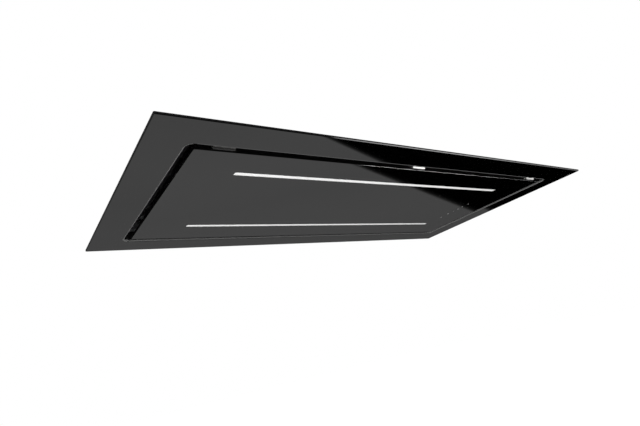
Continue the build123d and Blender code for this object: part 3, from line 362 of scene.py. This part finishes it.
def new_finish(name, colour, roughness, metallic=0.0, **sockets):
    """A material of one Principled shader. Returns it with its nodes and the piece's own coordinates."""
    finish = bpy.data.materials.new(name)
    finish.use_nodes = True
    tree = finish.node_tree
    tree.nodes.clear()
    shader = tree.nodes.new("ShaderNodeBsdfPrincipled")
    shader.inputs["Base Color"].default_value = (*colour, 1.0)
    shader.inputs["Roughness"].default_value = roughness
    shader.inputs["Metallic"].default_value = metallic
    for socket, value in sockets.items():
        shader.inputs[socket.replace("_", " ")].default_value = value
    wire(tree, "ShaderNodeOutputMaterial", Surface=shader.outputs[0])
    return finish, tree, shader, tree.nodes.new("ShaderNodeTexCoord").outputs["Object"]


def cloudy(tree, place, scale, detail=3.0, stretch=(1.0, 1.0, 1.0)):
    """Uneven noise over a piece, stretched along an axis where the finish is drawn or brushed."""
    spread = wire(tree, "ShaderNodeMapping", Vector=place, Scale=stretch)
    return wire(tree, "ShaderNodeTexNoise", Vector=spread.outputs[0], Scale=scale, Detail=detail).outputs[0]


def span(tree, value, low, high, start=0.3, end=0.7):
    """Turns noise into values from low to high."""
    names = {"Value": value, "From_Min": start, "From_Max": end, "To_Min": low, "To_Max": high}
    return wire(tree, "ShaderNodeMapRange", **names).outputs[0]


def tinted(tree, shader, value, stops):
    """Colours a finish by a ramp over a value."""
    tree.links.new(ramp(tree, value, stops), shader.inputs["Base Color"])


def dulled(tree, shader, value, low, high, start=0.3, end=0.7):
    """Makes a finish uneven in its gloss, from a low to a high roughness."""
    tree.links.new(span(tree, value, low, high, start, end), shader.inputs["Roughness"])


def bumped(tree, shader, height, depth):
    """Raises the surface by a height times a depth in metres."""
    bump = wire(tree, "ShaderNodeBump", Height=height, Strength=1.0, Distance=depth)
    tree.links.new(bump.outputs[0], shader.inputs["Normal"])


def black_glass(name):
    """Glass painted black behind: almost no colour, a clean mirror, a trace of dust and of a wipe."""
    finish, tree, shader, place = new_finish(name, (0.0004, 0.0004, 0.0004), 0.02, IOR=1.5)
    dust = span(tree, cloudy(tree, place, 900.0, 2.0), 0.0, 1.0, 0.66, 0.80)
    wiped = span(tree, cloudy(tree, place, 5.0, 4.0, (1.0, 3.0, 1.0)), 0.0, 1.0, 0.35, 0.75)
    haze = calculate(tree, "MULTIPLY_ADD", wiped, 0.02)
    haze.node.inputs[2].default_value = 0.012
    tree.links.new(haze, shader.inputs["Roughness"])
    specks = calculate(tree, "MULTIPLY", dust, wiped)
    tinted(tree, shader, specks, [(0.0, 0.0004), (1.0, 0.0045)])
    return finish, tree, shader, place


frame_low, frame_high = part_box("trim_glass")
frame_length = frame_high.x - frame_low.x
frame_width = frame_high.y - frame_low.y
glass_face = frame_low.z
lower_half = glass_face + 0.001


def outward_edge(point):
    """Whether a point is at the frame's outer edge, and not at its opening."""
    return abs(point.x) > 0.56 or abs(point.y) > 0.26


bm = bmesh.new()
edges = rounded_loop(bm, frame_length, frame_width, frame_corner, glass_face)
edges += rounded_loop(bm, opening_length, opening_width, opening_corner, glass_face)
bmesh.ops.bridge_loops(bm, edges=edges)
thicken(bm, list(bm.faces), glass_thickness)
outer_rim = rim_edges(bm, lambda point: outward_edge(point) and point.z < lower_half)
round_edges(bm, outer_rim, arris, 1)
opening_rim = rim_edges(bm, lambda point: not outward_edge(point) and point.z < lower_half)
round_edges(bm, opening_rim, ground_round, 3)

# The finishes by number: glass, painted edge, and the ground wall, near side and other sides of the opening.
# The near side's arris is painted much lighter and the other sides' a little lighter than the wall: painted
# highlights.
mirror, painted, wall, near_side_highlight, other_sides_highlight = range(5)
upright = 0.3
nearly_flat = 0.95
flat = 0.98
sideways = 0.1
bm.normal_update()
for face in bm.faces:
    facing = face.normal
    if outward_edge(face.calc_center_median()):
        face.material_index = painted if abs(facing.z) < upright else mirror
    elif abs(facing.z) < flat and abs(facing.x) > sideways:
        face.material_index = other_sides_highlight
    elif abs(facing.z) < upright:
        face.material_index = wall
    elif abs(facing.z) < nearly_flat:
        face.material_index = near_side_highlight if facing.y > sideways else other_sides_highlight
glass_finish = black_glass("black_glass")[0]
painted_edge, tree, shader, place = new_finish(
    "painted_glass_edge", (0.002, 0.002, 0.002), 0.5, Specular_IOR_Level=0.15
)
tinted(tree, shader, cloudy(tree, place, 400.0), [(0.3, 0.0015), (0.7, 0.003)])


def ground_glass(name, tone):
    """Glass left frosted by the grinding belt."""
    finish, tree, shader, place = new_finish(name, (tone, tone, tone), 0.55)
    belt = cloudy(tree, place, 900.0, 3.0, (1.0, 1.0, 0.2))
    tinted(tree, shader, belt, [(0.3, tone * 0.85), (0.7, tone * 1.15)])
    bumped(tree, shader, belt, 0.00003)
    return finish


# One frosted glass in three tones: the wall's own grey, and painted highlights on the arris of the opening,
# strongest on the near side.
ground_wall = ground_glass("ground_glass_wall", 0.085)
near_arris_painted_highlight = ground_glass("ground_glass_near_arris", 0.45)
far_arris_painted_highlight = ground_glass("ground_glass_far_arris", 0.12)
trim_glass_shown = finished_piece(
    "trim_glass_shown", bm, glass_finish, painted_edge, ground_wall, near_arris_painted_highlight, far_arris_painted_highlight
)
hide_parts("trim_glass")
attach(trim_glass_shown, "hood")

# ---- Panel glass -------------------------------------------------------------------------------------
# The glass of the drop-down panel, from the same black sheet, with a long slot for each light strip. A bump
# leans its shading a hair out of true, so its mirror image doesn't quite meet the frame's.

panel_low, panel_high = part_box("panel_glass")
panel_corner = 0.004
strip_centre = -0.0055
strip_rows = (-0.1415, 0.132)
strip_slot = (0.819, 0.012)
slot_corner = 0.002


def panel_edge(point):
    """Whether a point is at the panel's outer edge, and not at a light slot."""
    return abs(point.x) > 0.5 or abs(point.y) > 0.2


bm = bmesh.new()
edges = rounded_loop(bm, panel_high.x - panel_low.x, panel_high.y - panel_low.y, panel_corner, glass_face)
for row in strip_rows:
    edges += rounded_loop(bm, *strip_slot, slot_corner, glass_face, 4, (strip_centre, row))
bmesh.ops.triangle_fill(bm, use_beauty=True, use_dissolve=False, edges=edges)
thicken(bm, list(bm.faces), glass_thickness)
round_edges(bm, rim_edges(bm, lambda point: panel_edge(point) and point.z < lower_half), arris, 1)
polished = 2
bm.normal_update()
for face in bm.faces:
    if abs(face.normal.z) < nearly_flat:
        face.material_index = painted if abs(face.normal.z) < upright else polished
panel_finish, tree, shader, place = black_glass("panel_black_glass")
bumped(tree, shader, along(tree, place, (-10.12, 25.07, 0.0)), 0.001)
polished_arris, tree, shader, place = new_finish("polished_arris", (0.45, 0.45, 0.45), 0.04, 1.0)
tinted(tree, shader, cloudy(tree, place, 300.0, 3.0), [(0.3, 0.42), (0.7, 0.48)])
panel_glass_shown = finished_piece("panel_glass_shown", bm, panel_finish, painted_edge, polished_arris)
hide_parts("panel_glass")
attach(panel_glass_shown, "glass_panel")

# ---- Light strips ------------------------------------------------------------------------------------
# Two strips of white light: an opal bar pressed into each slot of the glass, over a board of diodes in
# an aluminium channel. The bars glow evenly and stand half a millimetre back from the glass.


def dress(finish, *nodes):
    """Gives CAD nodes a finish."""
    for name in nodes:
        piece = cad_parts[name]
        if not piece.material_slots:
            piece.data.materials.append(finish)
        for held in piece.material_slots:
            held.material = finish


opal, tree, shader, place = new_finish(
    "opal_diffuser", (0.87, 0.87, 0.87), 0.35, Subsurface_Weight=0.3, Subsurface_Radius=(0.2, 0.2, 0.2),
    Emission_Color=(1.0, 1.0, 1.0, 1.0), Emission_Strength=0.10,
)
tinted(tree, shader, cloudy(tree, place, 300.0), [(0.35, 0.84), (0.65, 0.90)])
bumped(tree, shader, cloudy(tree, place, 2500.0), 0.00003)
dress(opal, "led_diffusers")

extruded, tree, shader, place = new_finish("extruded_aluminium", (0.72, 0.73, 0.74), 0.35, 1.0)
drawn = cloudy(tree, place, 240.0, 4.0, (0.01, 1.0, 1.0))
dulled(tree, shader, drawn, 0.26, 0.46)
tinted(tree, shader, drawn, [(0.3, (0.64, 0.65, 0.66)), (0.7, (0.78, 0.79, 0.80))])
bumped(tree, shader, drawn, 0.00004)
dress(extruded, "led_profiles")

laminate, tree, shader, place = new_finish("board_laminate", (0.03, 0.16, 0.08), 0.35)
weave = wire(tree, "ShaderNodeTexWave", Vector=place, Scale=400.0, Distortion=1.5, Detail=2.0).outputs["Fac"]
tinted(tree, shader, weave, [(0.2, (0.02, 0.13, 0.06)), (0.8, (0.04, 0.19, 0.10))])
dress(laminate, "led_boards", "touch_board")

# ---- Touch keys --------------------------------------------------------------------------------------
# Six round marks, printed in pale grey on the face of the glass at one end of the panel. The sensor
# board behind them is under a black plastic cover on the tray.

mark_line = 0.412
mark_places = (-0.0414, -0.017, -0.0002, 0.0176, 0.0409, 0.0704)
mark_r = 0.0021
mark_rim = 0.0003
ink = 0.00003
bm = bmesh.new()
for spot in mark_places:
    disc = bmesh.ops.create_circle(bm, cap_ends=True, segments=28, radius=mark_r)["verts"]
    bmesh.ops.translate(bm, vec=(mark_line, spot, glass_face - ink), verts=disc)
for disc in list(bm.faces):
    bmesh.ops.inset_individual(bm, faces=[disc], thickness=mark_rim, depth=0.0)
pull_up(bm, list(bm.faces), ink)
print_finish, tree, shader, place = new_finish("printed_marks", (0.42, 0.43, 0.44), 0.5)
tinted(tree, shader, cloudy(tree, place, 3000.0), [(0.3, 0.34), (0.7, 0.48)])
touch_marks = finished_piece("touch_marks", bm, print_finish)
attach(touch_marks, "glass_panel")

moulded, tree, shader, place = new_finish("black_moulded_plastic", (0.018, 0.018, 0.019), 0.48)
grain = cloudy(tree, place, 1400.0, 3.0)
dulled(tree, shader, grain, 0.40, 0.58)
tint = cloudy(tree, place, 30.0, 3.0)
tinted(tree, shader, tint, [(0.3, 0.014), (0.7, 0.024)])
bumped(tree, shader, grain, 0.00012)
dress(
    moulded, "touch_cover", "filter_latch_left", "filter_latch_middle", "filter_latch_right", "scroll_lower",
    "scroll_upper", "outlet_adapter", "outlet_collar", "impeller", "impeller_disc", "cable_gland",
)

# ---- Steel frame, tray and filter plate --------------------------------------------------------------
# Folded sheet steel in black powder paint: the frame that the glass is bonded to, with its lip up into
# the casing, the tray of the panel, and the plate that the filters seal against.

black_powder, tree, shader, place = new_finish(
    "black_powder_paint", (0.005, 0.005, 0.005), 0.5, Specular_IOR_Level=0.25
)
peel = cloudy(tree, place, 650.0, 2.0)
dulled(tree, shader, peel, 0.42, 0.60)
tinted(tree, shader, cloudy(tree, place, 20.0), [(0.3, 0.004), (0.7, 0.0065)])
bumped(tree, shader, peel, 0.00012)
dress(black_powder, "trim_frame", "panel_tray", "filter_plate", "catch_magnets")

# ---- Casing ------------------------------------------------------------------------------------------
# Galvanised sheet, spot-welded at its folds into a box that goes up into the ceiling, with an angle
# frame round its mouth. The zinc shows its spangle, some drag marks and a dull bloom.


def galvanised(name, tone):
    """Zinc-coated sheet: grey crystals a centimetre across, each with its own dullness."""
    finish, tree, shader, place = new_finish(name, (tone, tone, tone), 0.4, 0.9)
    flow = wire(tree, "ShaderNodeTexNoise", Vector=place, Scale=60.0, Detail=2.0).outputs["Color"]
    bent = wire(tree, "ShaderNodeMix")
    bent.data_type = "RGBA"
    bent.inputs["Factor"].default_value = 0.012
    tree.links.new(place, bent.inputs[6])
    tree.links.new(flow, bent.inputs[7])
    crystals = wire(tree, "ShaderNodeTexVoronoi", Vector=bent.outputs[2], Scale=85.0).outputs["Color"]
    crystal = wire(tree, "ShaderNodeSeparateXYZ", Vector=crystals).outputs["X"]
    bloom = cloudy(tree, place, 7.0, 4.0)
    drag = cloudy(tree, place, 160.0, 3.0, (0.03, 1.0, 0.3))
    spangle = calculate(tree, "MULTIPLY", crystal, 0.16)
    colour = calculate(tree, "ADD", spangle, calculate(tree, "MULTIPLY", bloom, 0.20))
    low = (tone * 0.80, tone * 0.82, tone * 0.85)
    high = (tone * 1.12, tone * 1.13, tone * 1.14)
    tinted(tree, shader, colour, [(0.08, low), (0.30, high)])
    dull = calculate(tree, "ADD", spangle, calculate(tree, "MULTIPLY", drag, 0.25))
    dulled(tree, shader, dull, 0.30, 0.52, 0.08, 0.32)
    bumped(tree, shader, calculate(tree, "ADD", drag, calculate(tree, "MULTIPLY", crystal, 0.3)), 0.00005)
    return finish


zinc_sheet = galvanised("galvanised_sheet", 0.66)
dress(
    zinc_sheet, "casing_top", "casing_side_near", "casing_side_far", "casing_ends", "flange_frame",
    "inlet_ring", "control_box", "control_cover", "hanging_brackets", "motor_plate", "catch_brackets",
    "filter_rails",
)

# Spot welds: shallow dished rings where the sheets are joined, along the top, the corners and the mouth.
top_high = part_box("casing_top")[1]
weld_pitch = 0.062
weld_r = 0.0026
weld_rim = 0.0011
weld_dish = 0.00008
weld_heights = (0.226, 0.026)
skin = 0.0001
bm = bmesh.new()


def weld_row(count, start, step, turn):
    """A row of dished welds on one face of the casing."""
    for i in range(count):
        ring = bmesh.ops.create_circle(bm, cap_ends=True, segments=12, radius=weld_r)["verts"]
        disc = ring[0].link_faces[0]
        dish = bmesh.ops.inset_individual(bm, faces=[disc], thickness=weld_rim, depth=-weld_dish)["faces"]
        touched = set(ring) | {v for f in dish for v in f.verts} | set(disc.verts)
        spot = Vector(start) + Vector(step) * i
        bmesh.ops.transform(bm, matrix=Matrix.Translation(spot) @ turn, verts=list(touched))


outward = {
    "near": Matrix.Rotation(math.radians(90), 4, "X"),
    "far": Matrix.Rotation(math.radians(-90), 4, "X"),
    "left": Matrix.Rotation(math.radians(-90), 4, "Y"),
    "right": Matrix.Rotation(math.radians(90), 4, "Y"),
}
wall_x = top_high.x + skin
wall_y = top_high.y + skin
for height in weld_heights:
    for side, y in (("near", -wall_y), ("far", wall_y)):
        weld_row(17, (-8 * weld_pitch, y, height), (weld_pitch, 0, 0), outward[side])
    for side, x in (("left", -wall_x), ("right", wall_x)):
        weld_row(7, (x, -3 * weld_pitch, height), (0, weld_pitch, 0), outward[side])
weld_finish, tree, shader, place = new_finish("spot_weld", (0.34, 0.33, 0.33), 0.5, 0.9)
tinted(tree, shader, cloudy(tree, place, 500.0), [(0.3, 0.22), (0.7, 0.42)])
casing_spot_welds = finished_piece("casing_spot_welds", bm, weld_finish)
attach(casing_spot_welds, "hood")

# ---- Hinges, clips and strikers ----------------------------------------------------------------------
# Pressed stainless leaves on the panel and on the lip, joined by a pin. Spring-steel clips hold the
# glass at its ends, and steel strikers meet the magnets at the far side.


def pressed_stainless(name):
    """Stainless strip with a brushed grain along the hood."""
    finish, tree, shader, place = new_finish(name, (0.74, 0.73, 0.71), 0.28, 1.0)
    brushed = cloudy(tree, place, 700.0, 4.0, (0.03, 1.0, 1.0))
    dulled(tree, shader, brushed, 0.20, 0.40)
    tinted(tree, shader, brushed, [(0.3, (0.66, 0.65, 0.63)), (0.7, (0.80, 0.79, 0.77))])
    return finish, tree, shader, place, brushed


stainless, tree, shader, place, brushed = pressed_stainless("pressed_stainless")
bumped(tree, shader, brushed, 0.00004)
dress(stainless, "glass_clips", "catch_strikers")

# The hinges' knuckles are shaded as if pressed flat by a bump, so they catch light from below.
coined_painted_shade, tree, shader, place, brushed = pressed_stainless("hinge_painted_shade")
dulled(tree, shader, brushed, 0.10, 0.20)
# The hinge steel is tinted far darker than the clips' stainless: painted shade for the slot it sits in.
tinted(tree, shader, brushed, [(0.3, (0.24, 0.235, 0.23)), (0.7, (0.31, 0.305, 0.30))])
flattened = along(tree, place, (0.0, 878.0, 818.0))
bumped(tree, shader, calculate(tree, "ADD", flattened, calculate(tree, "MULTIPLY", brushed, 0.04)), 0.001)
dress(coined_painted_shade, "hinge_moving_leaves", "hinge_fixed_leaves", "hinge_pins")

zinc_bright, tree, shader, place = new_finish("bright_zinc_screws", (0.72, 0.74, 0.76), 0.28, 1.0)
stain = cloudy(tree, place, 220.0, 3.0)
tinted(tree, shader, stain, [(0.35, (0.60, 0.61, 0.60)), (0.65, (0.76, 0.78, 0.80))])
dulled(tree, shader, stain, 0.22, 0.42)
dress(zinc_bright, "trim_screws", "hinge_moving_screws", "scroll_screws", "collar_screws")

# ---- Grease filters ----------------------------------------------------------------------------------
# Three cassettes of pleated expanded aluminium in a folded aluminium frame. They hook into one rail and
# latch over the other by a spring bolt with a black grip.

folded, tree, shader, place = new_finish("folded_aluminium", (0.70, 0.71, 0.72), 0.36, 1.0)
rolled = cloudy(tree, place, 300.0, 4.0, (1.0, 0.03, 1.0))
smear = cloudy(tree, place, 14.0, 4.0)
dulled(tree, shader, smear, 0.28, 0.50)
tinted(tree, shader, rolled, [(0.3, (0.62, 0.63, 0.64)), (0.7, (0.76, 0.77, 0.78))])
bumped(tree, shader, rolled, 0.00004)
dress(folded, "filter_frame_left", "filter_frame_middle", "filter_frame_right")

expanded, tree, shader, place = new_finish("expanded_aluminium", (0.62, 0.63, 0.64), 0.38, 1.0)
apart = wire(tree, "ShaderNodeSeparateXYZ", Vector=place)
mesh_length = 0.0062
mesh_width = 0.0036
across = calculate(tree, "MULTIPLY", apart.outputs["X"], 1.0 / mesh_length)
down = calculate(tree, "MULTIPLY", apart.outputs["Y"], 1.0 / mesh_width)
rising = calculate(tree, "PINGPONG", calculate(tree, "ADD", across, down), 0.5)
falling = calculate(tree, "PINGPONG", calculate(tree, "SUBTRACT", across, down), 0.5)
strand = calculate(tree, "MINIMUM", rising, falling)
# The openings of the mesh are painted near black and dull: painted shade where one would look through them.
hole = span(tree, strand, 0.0, 1.0, 0.10, 0.17)
tinted(tree, shader, hole, [(0.0, (0.66, 0.67, 0.68)), (1.0, (0.03, 0.03, 0.03))])
tree.links.new(span(tree, hole, 1.0, 0.0, 0.0, 1.0), shader.inputs["Metallic"])
dulled(tree, shader, hole, 0.34, 0.80, 0.0, 1.0)
bumped(tree, shader, span(tree, strand, 1.0, 0.0, 0.02, 0.2), 0.0006)
dress(expanded, "filter_mesh_left", "filter_mesh_middle", "filter_mesh_right")

# ---- Motor, shaft and damper spindle -----------------------------------------------------------------
# The motor can is cast aluminium with ribs. The shaft, nut and bearings are ground steel, and the posts
# that hang the blower are black rubber.

cast, tree, shader, place = new_finish("cast_aluminium", (0.50, 0.51, 0.52), 0.55, 1.0)
skin_grain = cloudy(tree, place, 800.0, 4.0)
tinted(tree, shader, skin_grain, [(0.3, 0.42), (0.7, 0.56)])
bumped(tree, shader, skin_grain, 0.00025)
dress(cast, "motor_body")

ground, tree, shader, place = new_finish("ground_steel", (0.58, 0.58, 0.59), 0.22, 1.0)
turned = cloudy(tree, place, 900.0, 3.0, (0.2, 0.2, 1.0))
dulled(tree, shader, turned, 0.14, 0.32)
dress(ground, "motor_bearings", "motor_shaft", "shaft_nut", "damper_spindle")

rubber, tree, shader, place = new_finish("post_rubber", (0.016, 0.016, 0.016), 0.75)
bumped(tree, shader, cloudy(tree, place, 700.0), 0.0002)
tinted(tree, shader, cloudy(tree, place, 60.0), [(0.3, 0.012), (0.7, 0.022)])
dress(rubber, "blower_posts")

# ---- Backdraught flaps -------------------------------------------------------------------------------
# Two half-round flaps of thin grey plastic on one spindle, which the air opens and light springs close.

flap_grey, tree, shader, place = new_finish("flap_plastic", (0.10, 0.105, 0.11), 0.42)
satin = cloudy(tree, place, 1200.0)
dulled(tree, shader, satin, 0.36, 0.50)
tinted(tree, shader, cloudy(tree, place, 40.0), [(0.3, 0.09), (0.7, 0.12)])
dress(flap_grey, "damper_flap_left", "damper_flap_right")

# ---- Mains inlet and light driver --------------------------------------------------------------------
# The terminal block is white plastic with slits between its ways, and the driver is a white plastic
# brick under the top of the casing.

white_moulded, tree, shader, place = new_finish("white_moulded_plastic", (0.74, 0.74, 0.72), 0.42)
fine = cloudy(tree, place, 1500.0)
dulled(tree, shader, fine, 0.36, 0.50)
tinted(tree, shader, cloudy(tree, place, 35.0), [(0.3, (0.70, 0.70, 0.68)), (0.7, (0.78, 0.78, 0.76))])
bumped(tree, shader, fine, 0.00005)
dress(white_moulded, "terminal_block", "led_driver")
